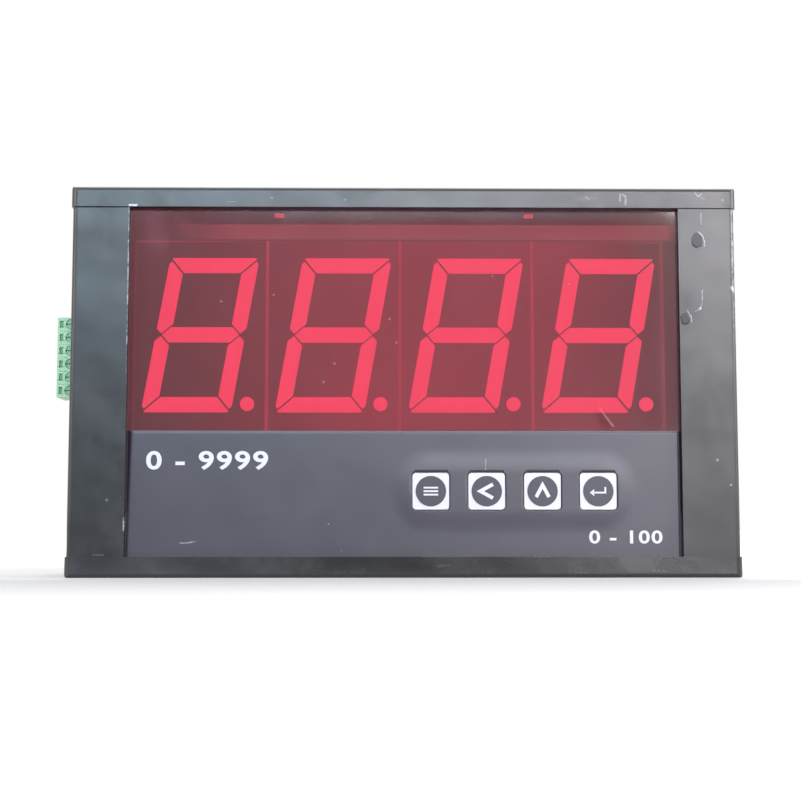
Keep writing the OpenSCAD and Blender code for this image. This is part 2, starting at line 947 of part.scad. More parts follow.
// Bent pins: level through the header's back, then down through the board
module header_pins() {
  h = header_pin / 2;
  color("#d9d9dc")
    at_ways() {
      block([x_plug + 2, y_pin - h, -h], [x_leg + header_pin, y_pin + h, h]);
      block([x_leg, y_pin - h, -h], [x_leg + header_pin, y_control_back + 1.2, h]);
    }
}

module plug_body() {
  half_t = plug_half - plug_clear;
  y_entry = y_bar + bar_t - 0.2;
  socket_half = header_pin / 2 + 1;
  y_channel = min(y_bar - seat_gap, y_pin - socket_half);
  color("#8fcf9f")
    difference() {
      union() {
        block([x_plug_end, y_plug, plug_z - plug_half], [x_plug, y_plug_back, plug_z + plug_half]);
        block([x_plug - cut, y_tongue, plug_z - half_t], [x_tongue, y_tongue_back, plug_z + half_t]);
      }
      at_ways() {
        // Screw head, neck, clamp pocket, wire entry, contact channel and test slot
        rod_y(x_term, y_plug - cut, y_neck + run_clear, 0, term_head_d + 2 * run_clear);
        rod_y(x_term, y_neck, y_pocket + cut, 0, term_d + 2 * run_clear);
        block([x_term - clamp_x / 2 - clamp_play, y_pocket, -pocket_z / 2],
          [x_term + clamp_x / 2 + clamp_play, y_clamp + clamp_d + clamp_play, pocket_z / 2]);
        block([x_plug_end - cut, y_entry, -entry_z / 2], [x_term, y_entry + entry_y, entry_z / 2]);
        block([x_term, y_channel, -socket_half], [x_tongue + cut, y_pin + socket_half, socket_half]);
        block([x_plug_end + 0.8, y_plug - cut, -1.35], [x_plug_end + 2.2, y_plug + 0.8, 1.35]);
      }
    }
}

// A sleeve round each header pin, with a bar that reaches through the wire clamp
module plug_contacts() {
  outer = header_pin / 2 + 0.8;
  inner = header_pin / 2 + 0.3;
  wall = outer - inner;
  bar_half = 1;
  x_sleeve = x_term + clamp_x / 2 + clamp_play + edge_play;
  color("#cfa85a")
    at_ways()
      difference() {
        union() {
          block([x_sleeve, y_pin - outer, -outer], [x_tongue - edge_play, y_pin + outer, outer]);
          block([x_sleeve, min(y_bar, y_pin - outer), -bar_half],
            [x_sleeve + 2 * wall, max(y_bar + bar_t, y_pin - inner), bar_half]);
          block([x_term - clamp_x / 2, y_bar, -bar_half], [x_sleeve + wall, y_bar + bar_t, bar_half]);
        }
        block([x_sleeve + 2 * wall, y_pin - inner, -inner], [x_tongue, y_pin + inner, inner]);
      }
}

module terminal_screw(i) {
  slot = 0.6;
  color("#9aa09c")
    translate([x_term, 0, way_z(i)])
      difference() {
        union() {
          rod_y(0, y_head, y_neck, 0, term_head_d);
          rod_y(0, y_neck - cut, y_neck + term_l, 0, term_d);
        }
        block([-term_head_d, y_head - cut, -slot / 2], [term_head_d, y_head + 0.7, slot / 2]);
      }
}

module terminal_screw_1() { terminal_screw(1); }
module terminal_screw_2() { terminal_screw(2); }
module terminal_screw_3() { terminal_screw(3); }
module terminal_screw_4() { terminal_screw(4); }
module terminal_screw_5() { terminal_screw(5); }
module terminal_screw_6() { terminal_screw(6); }

// A square cage that the screw draws up against the contact bar
module wire_clamp(i) {
  hx = clamp_x / 2;
  hz = clamp_z / 2;
  color("#b5b8ba")
    translate([x_term, 0, way_z(i)])
      difference() {
        block([-hx, y_clamp, -hz], [hx, y_clamp + clamp_d, hz]);
        block([-hx - cut, y_clamp + clamp_wall, -hz + clamp_side],
          [hx + cut, y_clamp + clamp_d - clamp_wall, hz - clamp_side]);
        rod_y(0, y_clamp - cut, y_clamp + clamp_wall + cut, 0, term_d + 2 * run_clear);
      }
}

module wire_clamp_1() { wire_clamp(1); }
module wire_clamp_2() { wire_clamp(2); }
module wire_clamp_3() { wire_clamp(3); }
module wire_clamp_4() { wire_clamp(4); }
module wire_clamp_5() { wire_clamp(5); }
module wire_clamp_6() { wire_clamp(6); }

top_cap();
bottom_cap();
left_side();
right_side();
rear_panel();
window();
keypad_film();
top_screws();
bottom_screws();
rear_nuts();
key_cap_1();
key_cap_2();
key_cap_3();
key_cap_4();
key_disc_1();
key_disc_2();
key_disc_3();
key_disc_4();
plunger_1();
plunger_2();
plunger_3();
plunger_4();
key_switches();
display_board();
digit_1();
digit_2();
digit_3();
digit_4();
segments_1();
segments_2();
segments_3();
segments_4();
digit_pins();
alarm_lights();
driver_chips();
control_board();
spacers();
board_screws();
transformer();
relay();
capacitors();
controller_chip();
ribbon_sockets();
ribbon_cable();
terminal_header();
header_pins();
plug_body();
plug_contacts();
terminal_screw_1();
terminal_screw_2();
terminal_screw_3();
terminal_screw_4();
terminal_screw_5();
terminal_screw_6();
wire_clamp_1();
wire_clamp_2();
wire_clamp_3();
wire_clamp_4();
wire_clamp_5();
wire_clamp_6();
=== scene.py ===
import math

import bmesh
import bpy
from mathutils import Matrix, Vector


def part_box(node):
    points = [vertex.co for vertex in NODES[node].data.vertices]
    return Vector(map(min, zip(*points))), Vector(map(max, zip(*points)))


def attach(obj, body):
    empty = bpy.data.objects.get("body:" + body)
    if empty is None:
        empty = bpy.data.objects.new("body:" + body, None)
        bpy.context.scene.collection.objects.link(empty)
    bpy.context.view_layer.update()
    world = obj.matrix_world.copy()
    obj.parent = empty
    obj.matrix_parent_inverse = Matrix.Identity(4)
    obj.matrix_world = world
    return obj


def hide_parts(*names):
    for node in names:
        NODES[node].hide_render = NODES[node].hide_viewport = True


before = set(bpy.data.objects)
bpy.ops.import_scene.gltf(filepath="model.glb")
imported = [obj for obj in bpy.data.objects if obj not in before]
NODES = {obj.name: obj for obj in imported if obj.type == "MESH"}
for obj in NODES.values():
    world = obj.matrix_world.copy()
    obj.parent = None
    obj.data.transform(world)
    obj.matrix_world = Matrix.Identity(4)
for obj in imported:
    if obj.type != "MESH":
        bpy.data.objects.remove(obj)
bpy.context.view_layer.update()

MM = 0.001

# Where the part's pieces are, in mm
film_low, film_high = (v * 1000 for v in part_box("keypad_film"))
cap_low, cap_high = (v * 1000 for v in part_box("top_cap"))
side_low, side_high = (v * 1000 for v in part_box("right_side"))
plug_low, plug_high = (v * 1000 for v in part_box("plug_body"))
digit_boxes = [[v * 1000 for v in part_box(f"digit_{i}")] for i in (1, 2, 3, 4)]
disc_boxes = [[v * 1000 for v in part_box(f"key_disc_{i}")] for i in (1, 2, 3, 4)]
key_centres = [((low.x + high.x) / 2, (low.z + high.z) / 2) for low, high in disc_boxes]
digit_low, digit_high = digit_boxes[0]
row_end = digit_boxes[3][1]

# Terminal plug: distance from one way to the next
WAY_PITCH = 5.08


# ---- Shader sums ----


class Signal:
    """An output of a shader node that can stand in a Python sum."""

    def __init__(self, finish, socket):
        self.finish = finish
        self.socket = socket

    def __add__(self, other):
        return self.finish.maths("ADD", self, other)

    def __radd__(self, other):
        return self.finish.maths("ADD", other, self)

    def __sub__(self, other):
        return self.finish.maths("SUBTRACT", self, other)

    def __rsub__(self, other):
        return self.finish.maths("SUBTRACT", other, self)

    def __mul__(self, other):
        return self.finish.maths("MULTIPLY", self, other)

    def __rmul__(self, other):
        return self.finish.maths("MULTIPLY", other, self)

    def other(self, name):
        """Another output of the same node."""
        return Signal(self.finish, self.socket.node.outputs[name])


class Finish:
    """One material, with its Principled shader and the calls that feed it."""

    def __init__(self, name):
        self.material = bpy.data.materials.new(name)
        self.material.use_nodes = True
        self.tree = self.material.node_tree
        self.tree.nodes.clear()
        self.shader = self.tree.nodes.new("ShaderNodeBsdfPrincipled")
        output = self.tree.nodes.new("ShaderNodeOutputMaterial")
        self.tree.links.new(self.shader.outputs[0], output.inputs["Surface"])
        place = self.node("ShaderNodeTexCoord").other("Object")
        # The place on the piece in mm
        self.mm = self.node("ShaderNodeVectorMath", {"operation": "SCALE"}, {0: place, "Scale": 1000})
        self.x = self.node("ShaderNodeSeparateXYZ", {}, {0: self.mm})
        self.y = self.x.other("Y")
        self.z = self.x.other("Z")

    def node(self, kind, settings=None, sockets=None):
        """Adds a node: its settings first, then its sockets' values or links."""
        made = self.tree.nodes.new(kind)
        for key, value in (settings or {}).items():
            setattr(made, key, value)
        for key, value in (sockets or {}).items():
            self.feed(made.inputs[key], value)
        shown = [socket for socket in made.outputs if socket.enabled]
        return Signal(self, shown[0])

    def feed(self, socket, value):
        if isinstance(value, Signal):
            self.tree.links.new(value.socket, socket)
        else:
            socket.default_value = value

    def maths(self, operation, *values):
        return self.node("ShaderNodeMath", {"operation": operation}, dict(enumerate(values)))

    def larger(self, value, other):
        return self.maths("MAXIMUM", value, other)

    def put(self, **values):
        """Sets the shader's sockets, named with _ for a space."""
        for name, value in values.items():
            self.feed(self.shader.inputs[name.replace("_", " ")], value)

    # Shapes of signals

    def ramp(self, value, low, high):
        """0 at low, 1 at high, smooth between; high may be the smaller."""
        sockets = {"Value": value, "From Min": low, "From Max": high}
        if low > high:
            sockets = {"Value": value, "From Min": high, "From Max": low, "To Min": 1.0, "To Max": 0.0}
        return self.node("ShaderNodeMapRange", {"interpolation_type": "SMOOTHSTEP"}, sockets)

    def band(self, value, low, high, soft):
        """1 from low to high, falling to 0 over soft mm outside them."""
        return self.ramp(value, low - soft, low) * self.ramp(value, high + soft, high)

    def noise(self, size, detail=2.0, roughness=0.5, stretch=(1, 1, 1), shift=0.0):
        """Noise whose lumps are about size mm wide, from 0 to 1."""
        scale = [1 / (size * part) for part in stretch]
        place = self.node(
            "ShaderNodeVectorMath",
            {"operation": "MULTIPLY_ADD"},
            {0: self.mm, 1: scale, 2: (shift, shift, shift)},
        )
        return self.node(
            "ShaderNodeTexNoise",
            {},
            {"Vector": place, "Scale": 1.0, "Detail": detail, "Roughness": roughness},
        )

    def near(self, points, x=None, z=None):
        """Distance in mm from the line through the points, each (x, z)."""
        x = self.x if x is None else x
        z = self.z if z is None else z
        best = None
        for (x0, z0), (x1, z1) in zip(points, points[1:]):
            length = math.hypot(x1 - x0, z1 - z0)
            ux, uz = (x1 - x0) / length, (z1 - z0) / length
            run = (x - x0) * ux + (z - z0) * uz
            run = self.maths("MINIMUM", self.larger(run, 0.0), length)
            aside_x = x - x0 - run * ux
            aside_z = z - z0 - run * uz
            far = self.maths("SQRT", aside_x * aside_x + aside_z * aside_z)
            best = far if best is None else self.maths("MINIMUM", best, far)
        return best

    def warped(self, size, reach, shift=21):
        """x and z pushed about by noise up to reach mm, so that a drawn line comes out uneven."""
        across = (self.noise(size, 3, 0.6, shift=shift) - 0.5) * (2 * reach)
        up = (self.noise(size, 3, 0.6, shift=shift + 31) - 0.5) * (2 * reach)
        return self.x + across, self.z + up

    def blend(self, factor, colour_a, colour_b):
        """The first colour where the factor is 0, the second where it is 1."""
        return self.node(
            "ShaderNodeMix",
            {"data_type": "RGBA"},
            {"Factor": factor, 6: rgba(colour_a), 7: rgba(colour_b)},
        )

    def bump(self, height):
        """Height in mm."""
        normal = self.node("ShaderNodeBump", {}, {"Height": height, "Distance": MM, "Strength": 1.0})
        self.put(Normal=normal)


def rgba(colour):
    """A socket's colour from a signal or from red, green and blue."""
    return colour if isinstance(colour, Signal) else (*colour, 1)


def tone(red, green, blue):
    """A colour given as 0 to 255 on a screen, as the light it stands for."""
    parts = (part / 255 for part in (red, green, blue))
    return tuple(part / 12.92 if part < 0.04045 else ((part + 0.055) / 1.055) ** 2.4 for part in parts)


def scaled(colour, factor):
    return tuple(part * factor for part in colour)


# ---- Finishes ----


def moulded(name, colour, rough, mottle=0.12, grain=0.25, grain_height=0.006, **fixed):
    """Plastic or paint: a colour that drifts, uneven gloss and a fine grain.

    Returns the finish with its colour, gloss and height, for finished().
    """
    finish = Finish(name)
    cloud = finish.noise(18, 4, 0.6)
    fine = finish.noise(grain, 2, 0.6)
    tint = finish.blend(cloud, scaled(colour, 1 - mottle), scaled(colour, 1 + mottle))
    gloss = rough - 0.06 + 0.12 * finish.noise(9, 4, 0.65, shift=7)
    height = fine * grain_height
    finish.put(**fixed)
    return finish, tint, gloss, height


def finished(finish, tint, gloss, height):
    """Feeds colour, gloss and height to the shader, and returns the material."""
    finish.put(Base_Color=tint, Roughness=gloss)
    finish.bump(height)
    return finish.material


def metal(name, colour, rough, stretch=(1, 1, 1)):
    """Bare or plated metal with fine working lines and dull stains; in the plug, dull and green from a
    painted reflection of the plastic round it.
    """
    finish = Finish(name)
    lines = finish.noise(0.5, 3, 0.6, stretch)
    # 1 on the plug's own screws, clamps and contacts, coloured with a painted reflection of the green
    # plastic round them
    plug = finish.ramp(finish.x, -111, -113) * finish.band(finish.z, plug_low.z, plug_high.z, 0.5)
    colour = finish.blend(plug, colour, tone(150, 198, 158))
    dull = finish.ramp(finish.noise(4, 4, 0.6, shift=3), 0.45, 0.75)
    tint = finish.blend(dull * 0.25, colour, (0.12, 0.12, 0.12))
    finish.put(Metallic=1.0 - 0.9 * plug)
    return finished(finish, tint, rough + 0.15 * lines + 0.2 * dull, lines * 0.01)


def wear_and_highlights(finish, tint, marks, face):
    """Lays marks over a colour where face is 1: scratches, chips and dirt, and some painted highlights.

    Each has a path and a half width in mm, a colour and a strength.
    """
    x, z = finish.warped(1.6, 0.4)
    broken = finish.ramp(finish.noise(0.9, 3, 0.7, shift=13), 0.3, 0.56)
    for path, half, colour, strength in marks:
        edge = finish.ramp(finish.near(path, x, z), half * 1.9, half * 0.3)
        tint = finish.blend(edge * broken * face * strength, tint, colour)
    return tint


def specks(finish, size, rarity, shift):
    """Scattered dust and pin-prick marks, 1 where there is one."""
    cells = finish.node(
        "ShaderNodeTexVoronoi",
        {"feature": "F1"},
        {"Vector": finish.mm, "Scale": 1 / size, "Randomness": 1.0},
    )
    chosen = finish.ramp(finish.noise(size * 2.3, 1, 0.5, shift=shift), rarity, rarity + 0.02)
    return finish.ramp(cells, 0.09, 0.04) * chosen


# Colours of the marks: dust or bright bare metal, dull metal, and dirt
PALE = tone(205, 205, 210)
BARE = tone(150, 150, 152)
DARK = tone(20, 20, 22)


def painted(name):
    """Satin black paint: broad waves in the metal under it, and duller clouds left by hands."""
    finish, tint, gloss, height = moulded(
        name, tone(34, 33, 35), 0.34, grain=0.35, grain_height=0.0015, Specular_IOR_Level=0.75
    )
    wave = finish.noise(34, 2, 0.5, shift=17) * 0.6 + finish.noise(11, 2, 0.5, shift=27) * 0.05
    hands = finish.ramp(finish.noise(20, 4, 0.65, shift=19), 0.42, 0.72)
    return finish, tint, gloss + 0.12 * hands, height + wave


def cap_finish():
    """Paint of the two caps, with knocks along the front, rubbed patches and dust."""
    finish, tint, gloss, height = painted("cap_paint")
    front = finish.ramp(finish.y, cap_low.y + 0.6, cap_low.y + 0.2)
    marks = [
        ([(-99.2, 133.7), (-96.8, 133.7)], 0.34, PALE, 1.0),
        ([(65.8, 137.4), (67.0, 136.4)], 0.18, PALE, 0.25),
        ([(78.4, 138.4), (78.3, 135.6)], 0.26, PALE, 0.3),
        ([(79.2, 138.2), (80.4, 137.4), (80.2, 134.4)], 0.26, PALE, 0.33),
        ([(105.6, 138.9), (106.8, 137.4), (107.8, 138.5)], 0.2, PALE, 0.3),
        ([(107.0, 137.6), (109.0, 136.6)], 0.16, PALE, 0.18),
        ([(-48.2, 136.6), (-48.0, 136.5)], 0.3, tone(120, 110, 150), 0.6),
        ([(-21.6, 136.0), (-21.3, 136.1)], 0.26, BARE, 0.5),
        ([(-64.0, 135.0), (-60.5, 135.1)], 0.12, BARE, 0.35),
        ([(12.0, 4.2), (16.0, 4.5)], 0.14, BARE, 0.3),
        ([(88.0, 2.6), (92.5, 2.4)], 0.14, BARE, 0.35),
    ]
    tint = wear_and_highlights(finish, tint, marks, front)
    rub = finish.ramp(finish.noise(6, 3, 0.6, (4, 1, 1)), 0.62, 0.8)
    tint = finish.blend(rub * 0.12, tint, BARE)
    tint = finish.blend(specks(finish, 9, 0.62, 11) * 0.6, tint, PALE)
    # The bottom cap is smoother, so it mirrors only the dark floor before it
    smooth = finish.ramp(finish.z, 9, 8) * finish.ramp(finish.x, -95, -20) * 0.1
    return finished(finish, tint, gloss - smooth, height)


def side_finish():
    """Paint of the side pieces: faint lines up the extrusion, scratches, two drips with a painted
    highlight beside each, a worn inner edge and a painted highlight on the right piece's outside edge.
    """
    finish, tint, gloss, height = painted("side_paint")
    front = finish.ramp(finish.y, side_low.y + 0.8, side_low.y + 0.3)
    lines = finish.noise(1.2, 2, 0.5, (1, 1, 60))
    drips = [(106.3, 121.6, 1.0), (101.4, 93.0, 0.8)]
    x, z = finish.warped(3.0, 0.8, 41)
    blob = None
    for drip_x, drip_z, stretch in drips:
        across, up = x - drip_x, (z - drip_z) * 0.72
        spot = finish.ramp(finish.maths("SQRT", across * across + up * up) * (1 / stretch), 2.3, 1.5)
        blob = spot if blob is None else finish.larger(blob, spot)
    marks = [
        ([(107.9, 131.6), (107.8, 127.4)], 0.16, PALE, 0.4),
        # Painted highlight: a bright crescent on the right of the upper drip
        ([(106.6, 124.9), (108.3, 123.2), (109.0, 121.2), (108.8, 119.2)], 0.2, PALE, 0.55),
        ([(107.8, 103.4), (107.7, 98.8), (107.0, 96.6)], 0.15, PALE, 0.42),
        ([(107.1, 96.7), (106.9, 96.5)], 0.34, PALE, 0.7),
        ([(106.8, 96.4), (105.0, 95.4)], 0.16, PALE, 0.3),
        # Painted highlight: a bright crescent on the right of the lower drip
        ([(102.2, 95.8), (103.6, 93.8), (103.7, 91.6)], 0.17, PALE, 0.4),
        ([(119.4, 121.2), (119.5, 120.2)], 0.45, PALE, 0.9),
        ([(119.3, 115.0), (119.4, 113.6)], 0.4, PALE, 0.7),
        ([(118.6, 104.2), (119.2, 103.2)], 0.5, PALE, 0.95),
        ([(116.7, 32.9), (116.8, 32.9)], 0.3, tone(190, 170, 140), 0.8),
        ([(-105.8, 27.6), (-105.6, 27.5)], 0.35, BARE, 0.5),
        ([(-99.3, 20.8), (-99.3, 17.0)], 0.4, PALE, 0.8),
        ([(-110.2, 8.2), (-106.6, 8.1)], 0.15, BARE, 0.4),
    ]
    tint = finish.blend(blob * front * 0.5, tint, DARK)
    tint = wear_and_highlights(finish, tint, marks, front)
    patchy = finish.ramp(finish.noise(2.4, 3, 0.7, shift=23), 0.42, 0.6)
    # Worn to the metal along the left piece's inner edge; a painted highlight on the right piece's
    # outside edge
    inner = finish.ramp(finish.x, -side_low.x - 0.5, -side_low.x - 0.1)
    inner = inner * finish.ramp(finish.x, 0.0, -1.0) * finish.ramp(finish.z, 62, 96)
    tint = finish.blend(inner * patchy * front * 0.7, tint, PALE)
    painted_outer_highlight = finish.ramp(finish.x, side_high.x - 1.7, side_high.x - 0.9) * finish.ramp(finish.z, 82, 104)
    painted_outer_highlight = painted_outer_highlight * finish.ramp(finish.y, side_low.y + 3.5, side_low.y + 1.2)
    tint = finish.blend(painted_outer_highlight * patchy * 0.25, tint, PALE)
    rub = finish.ramp(finish.noise(7, 3, 0.6, (1, 1, 5)), 0.6, 0.8)
    tint = finish.blend(rub * 0.05, tint, BARE)
    tint = finish.blend(specks(finish, 10, 0.63, 5) * 0.5, tint, PALE)
    height = height + lines * 0.004 + blob * front * 0.14
    return finished(finish, tint, gloss + 0.16 * blob, height)


def film_finish():
    """Grey film with print: a fine grain, a soft swelling over the keys, a painted highlight along its
    top and right cut edges, and scratches.
    """
    finish, tint, gloss, height = moulded(
        "film",
        tone(64, 61, 71),
        0.36,
        mottle=0.05,
        grain=0.22,
        grain_height=0.0015,
        Specular_IOR_Level=0.75,
    )
    front = finish.ramp(finish.y, film_low.y + 0.3, film_low.y + 0.1)
    # Painted highlight along the film's top cut edge, and fainter along its right edge
    edge = finish.ramp(finish.z, film_high.z - 0.45, film_high.z - 0.15)
    side = finish.ramp(finish.x, film_high.x - 0.35, film_high.x - 0.1)
    edge = finish.larger(edge, side * 0.6)
    tint = finish.blend(edge * 0.55, tint, tone(150, 148, 158))
    marks = [
        ([(-80.2, 12.3), (-77.4, 12.3), (-74.4, 12.8)], 0.16, PALE, 0.5),
        ([(97.4, 43.9), (98.6, 43.1)], 0.3, DARK, 0.5),
        ([(29.2, 42.3), (29.2, 38.2)], 0.12, PALE, 0.35),
        ([(-27.0, 19.0), (-26.9, 19.1)], 0.2, PALE, 0.6),
        ([(-22.5, 9.4), (-22.4, 9.4)], 0.16, PALE, 0.4),
    ]
    tint = wear_and_highlights(finish, tint, marks, front)
    swell = finish.ramp(finish.near([key_centres[0], key_centres[-1]]), 16, 6)
    ripple = finish.noise(45, 2, 0.5, shift=2)
    height = height + swell * 0.25 + ripple * 0.5
    return finished(finish, tint, gloss + 0.04 * ripple, height)


def window_finish():
    """Red filter sheet: its front face is a thin veil with smears, dust and a painted reflection in the
    upper right corner.

    A dark strip beside the film is painted shade, standing for the shade behind the sheet.
    """
    finish = Finish("red_window")
    smear = finish.noise(26, 4, 0.6, (1, 1, 1.6), 4)
    streak = finish.noise(9, 3, 0.6, (0.5, 1, 5), 9)
    dust = specks(finish, 8, 0.6, 3)
    face = finish.ramp(finish.y, film_low.y + 0.7, film_low.y + 0.5)
    haze = finish.ramp(smear, 0.4, 0.8) * 0.5 + finish.ramp(streak, 0.55, 0.85) * 0.3
    tint = finish.blend(haze * 0.25, tone(113, 65, 69), tone(134, 92, 98))
    # Dull film of dust under the top cap
    dull = finish.ramp(finish.z, 128.5, 131.5) * finish.ramp(finish.x, -84, -30)
    tint = finish.blend(dull * 0.6, tint, tone(112, 98, 104))
    # Painted reflection in the upper right corner, in streaks slanting down to the right
    across = finish.x * 0.874 + finish.z * 0.484
    fan = finish.node(
        "ShaderNodeTexNoise",
        {"noise_dimensions": "1D"},
        {"W": across * 0.13, "Scale": 1.0, "Detail": 0.0},
    )
    corner = finish.ramp(across, 116, 142) * finish.ramp(finish.z, 84, 122)
    painted_corner_reflection = corner * (0.35 + 0.65 * finish.ramp(fan, 0.3, 0.72))
    tint = finish.blend(painted_corner_reflection * 0.5, tint, tone(112, 80, 70))
    # Thumb marks in the upper left corner
    x, z = finish.warped(5, 2.5, 47)
    thumb = finish.ramp(finish.near([(-90.5, 130.5), (-89.5, 120.5)], x, z), 5.5, 1.0)
    spot = finish.ramp(finish.near([(-82.0, 128.5), (-80.0, 127.0)], x, z), 4.6, 0.4)
    thumb = finish.larger(thumb, spot * 0.7)
    tint = finish.blend(thumb * face * 0.2, tint, tone(160, 96, 114))
    marks = [
        ([(-66.3, 99.2), (-66.1, 99.1)], 0.3, PALE, 0.4),
        ([(-60.5, 123.0), (-60.0, 130.0)], 0.2, PALE, 0.12),
        ([(70.5, 60.4), (75.2, 54.0)], 0.34, PALE, 0.3),
        ([(70.2, 58.6), (72.6, 54.0)], 1.4, DARK, 0.45),
    ]
    tint = wear_and_highlights(finish, tint, marks, face)
    tint = finish.blend(dust * 0.18, tint, PALE)
    # Painted shade: an opaque dark strip beside the film, where only shade lies behind the sheet
    beside = finish.larger(
        finish.ramp(finish.x, film_low.x + 0.2, film_low.x),
        finish.ramp(finish.x, film_high.x - 0.2, film_high.x),
    )
    shade_strip = beside * finish.ramp(finish.z, film_high.z + 0.1, film_high.z - 0.1)
    shade_strip_tone = finish.blend(finish.ramp(finish.z, 25, 20), tone(44, 34, 44), tone(70, 68, 76))
    tint = finish.blend(shade_strip, tint, shade_strip_tone)
    veil = 0.7 + 0.04 * haze + 0.1 * dust + 0.04 * painted_corner_reflection
    gloss = 0.06 + 0.04 * haze
    # Only the front face is seen, so that the sheet dims what is behind it once
    front = finish.ramp(finish.y, film_low.y + 2.4, film_low.y + 1.4)
    finish.put(
        Base_Color=tint,
        Roughness=gloss,
        Alpha=finish.larger(veil * front, shade_strip),
        Specular_IOR_Level=0.5,
    )
    finish.bump(finish.noise(60, 2, 0.5, shift=1) * 0.25)
    finish.material.surface_render_method = "BLENDED"
    return finish.material


def digit_finish():
    """Black digit module: light leaks at its edges, and the lit segments spill a little on its face."""
    finish, tint, gloss, height = moulded(
        "digit_face", tone(42, 33, 33), 0.55, mottle=0.06, grain=0.8, grain_height=0.0005
    )
    face = finish.ramp(finish.y, digit_low.y + 0.9, digit_low.y + 0.3)
    # Painted glow: the emission below stands in for light leaking at the modules' edges and spilling from
    # the segments
    leak = None
    for low, high in digit_boxes:
        inside = finish.band(finish.x, low.x - 0.02, high.x + 0.02, 0.01)
        left = finish.ramp(finish.x, low.x + 0.8, low.x + 0.35)
        right = finish.ramp(finish.x, high.x - 0.8, high.x - 0.35)
        ends = inside * finish.larger(left, right)
        leak = ends if leak is None else finish.larger(leak, ends)
    between = finish.band(finish.x, digit_low.x + 2, row_end.x - 2, 1.0)
    leak = leak * (0.1 + 0.37 * between)
    last = finish.ramp(finish.x, row_end.x - 2.4, row_end.x - 0.6) * 0.15
    leak = finish.larger(leak, last)
    top = finish.ramp(finish.z, digit_high.z - 0.9, digit_high.z - 0.3) * 0.22
    uneven = 0.6 + 0.8 * finish.noise(22, 2, 0.5, shift=6)
    spread = finish.ramp(finish.x, -104, 0) * finish.ramp(finish.x, 104, 50)
    spill = spread * (0.12 + 0.2 * finish.noise(46, 1, 0.5, shift=12))
    glow = finish.larger(finish.larger(leak * uneven, top), spill) * face
    finish.put(
        Emission_Color=finish.blend(glow, (0, 0, 0), (1.0, 0.03, 0.09)),
        Emission_Strength=1.9,
    )
    return finished(finish, tint, gloss, height)


def segment_finish():
    """Lit segments, a little brighter over the lamps inside."""
    finish = Finish("segment_lit")
    lamps = finish.node(
        "ShaderNodeTexVoronoi",
        {"feature": "SMOOTH_F1"},
        {"Vector": finish.mm, "Scale": 1 / 7.0, "Randomness": 0.2},
    )
    warm = finish.ramp(lamps, 0.75, 0.1)
    even = finish.noise(30, 2, 0.5)
    light = finish.blend(0.35 * warm + 0.4 * even, (0.80, 0.014, 0.068), (1.0, 0.028, 0.105))
    # The alarm lamps above the digits are dimmer
    light = finish.blend(finish.ramp(finish.z, 122.5, 124) * 0.35, light, (0, 0, 0))
    finish.put(
        Base_Color=finish.blend(even, tone(150, 40, 50), tone(180, 50, 60)),
        Roughness=0.4 + 0.1 * even,
        Emission_Color=light,
        Emission_Strength=2.6,
    )
    finish.bump(finish.noise(1.5, 2, 0.5) * 0.02)
    return finish.material


def display_board_finish():
    """Dark board behind the digits: a strip above them catches their red light."""
    finish, tint, gloss, height = moulded("display_board", tone(34, 40, 36), 0.4, grain=0.6)
    # Painted glow: emission standing in for the digits' red light on the strip and rim
    strip = finish.band(finish.z, 125.6, 130.2, 0.9)
    fade = finish.ramp(finish.x, -92, -60) * finish.ramp(finish.x, 103, 98)
    rim = finish.band(finish.z, 130.4, 130.8, 0.3) * 0.6
    front = finish.ramp(finish.y, -7.6, -8.2)
    uneven = 0.65 + 0.6 * finish.noise(28, 3, 0.5, shift=8)
    glow = (strip + rim) * fade * front * uneven
    finish.put(
        Emission_Color=finish.blend(glow, (0, 0, 0), (1.0, 0.14, 0.2)),
        Emission_Strength=0.5,
    )
    return finished(finish, tint, gloss, height)


def control_board_finish():
    """Green board with copper tracks under the lacquer."""
    finish, tint, gloss, height = moulded("control_board", tone(28, 92, 58), 0.35, grain=0.6)
    tracks = finish.node(
        "ShaderNodeTexBrick",
        {"offset": 0.37, "squash": 0.6},
        {
            "Vector": finish.node("ShaderNodeCombineXYZ", {}, {"X": finish.x, "Y": finish.z}),
            "Scale": 1.0,
            "Mortar Size": 0.35,
            "Mortar Smooth": 0.3,
            "Brick Width": 17.0,
            "Row Height": 3.4,
        },
    ).other("Fac")
    tint = finish.blend(tracks * 0.45, tint, tone(92, 150, 84))
    return finished(finish, tint, gloss, height + tracks * 0.03)


def striped(name, colour, second, rough, width):
    """Stacked sheets or parallel wires: stripes width mm apart along x."""
    finish, tint, gloss, height = moulded(name, colour, rough)
    wave = finish.maths("PINGPONG", finish.x, width / 2) * (2 / width)
    line = finish.ramp(wave, 0.5, 0.25)
    tint = finish.blend(line, tint, second)
    return finished(finish, tint, gloss, height + wave * 0.12)


def plain(name, colour, rough, **fixed):
    """One colour of plastic or paint, with nothing on it."""
    return finished(*moulded(name, colour, rough, **fixed))


def terminal_finish():
    """Pale green terminal plastic, with painted shade in the grooves between the ways and round the
    screws.
    """
    finish, tint, gloss, height = moulded(
        "terminal_plastic", tone(190, 234, 192), 0.42, mottle=0.08, grain=0.5, grain_height=0.01
    )
    way = finish.maths("PINGPONG", finish.z - (plug_low.z + 1.5), WAY_PITCH / 2)
    # Painted shade in the grooves between the ways, on the plug's front
    groove_shade = finish.ramp(way, 0.28, 0.12) * finish.ramp(finish.y, plug_low.y + 2.5, plug_low.y + 1.5)
    tint = finish.blend(groove_shade * 0.35, tint, tone(72, 120, 84))
    # Painted shade down in the screw holes
    deep = finish.ramp(finish.y, plug_low.y + 0.25, plug_low.y + 0.7)
    deep = deep * finish.ramp(finish.y, plug_low.y + 3.0, plug_low.y + 1.6)
    core = finish.ramp(finish.x, plug_low.x + 0.1, plug_low.x + 0.5)
    tint = finish.blend(deep * core * 0.5, tint, tone(40, 92, 60))
    return finished(finish, tint, gloss, height)


